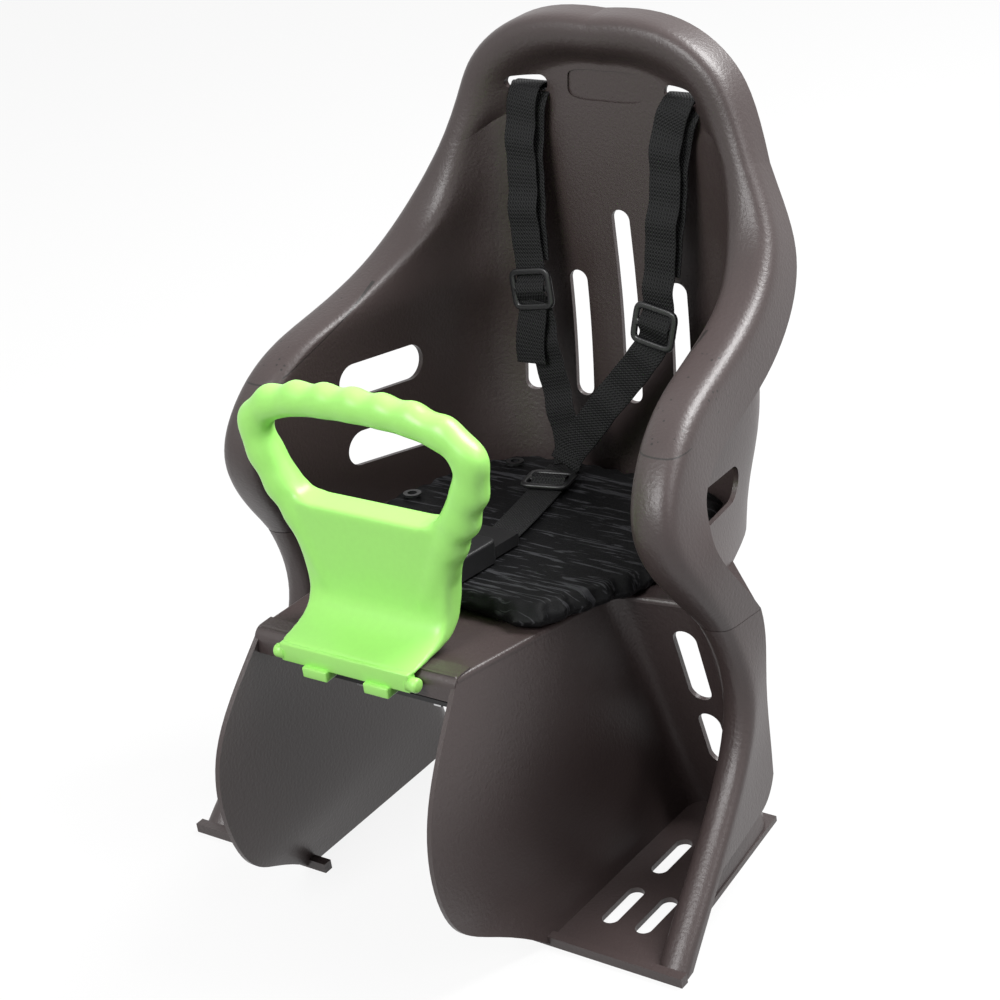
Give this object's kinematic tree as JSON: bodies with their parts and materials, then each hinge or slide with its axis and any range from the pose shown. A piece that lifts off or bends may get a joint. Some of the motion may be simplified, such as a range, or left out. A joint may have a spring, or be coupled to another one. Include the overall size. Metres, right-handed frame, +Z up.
{
  "type": "rear child bike seat",
  "caption": "Moulded bucket seat for carrying a child behind a bicycle rider, with leg guards, foot floors, a pad, a harness, a looped grab handle and a rack clamp.",
  "frame": {"origin": "on the level of the foot floors, under the middle of the seat's overall length and width", "axes": "+Z up from the foot floors, +Y towards the backrest, +X towards the child's left"},
  "size_m": [0.4136, 0.415, 0.5238],
  "materials": {
    "shell": "fine grain",
    "handle": "satin",
    "pad": "streaked weave",
    "webbing": "ribbed weave",
    "black_plastic": "satin",
    "clamp_metal": "satin",
    "fastener_metal": "plated"
  },
  "bodies": {
    "root": {"seat_shell": "shell", "seat_pad": "pad", "pad_eyelets": "black_plastic", "grab_handle": "handle", "shoulder_strap_left": "webbing", "shoulder_strap_right": "webbing", "crotch_strap": "webbing", "strap_adjuster_left": "black_plastic", "strap_adjuster_right": "black_plastic", "strap_adjuster_centre": "black_plastic", "buckle_tongue": "black_plastic", "buckle_socket": "black_plastic", "strap_anchor_left": "black_plastic", "strap_anchor_right": "black_plastic", "clamp_plate_front": "clamp_metal", "clamp_plate_rear": "clamp_metal", "clamp_bolts": "fastener_metal", "clamp_washers": "fastener_metal", "clamp_nuts": "fastener_metal"}
  },
  "joints": []
}
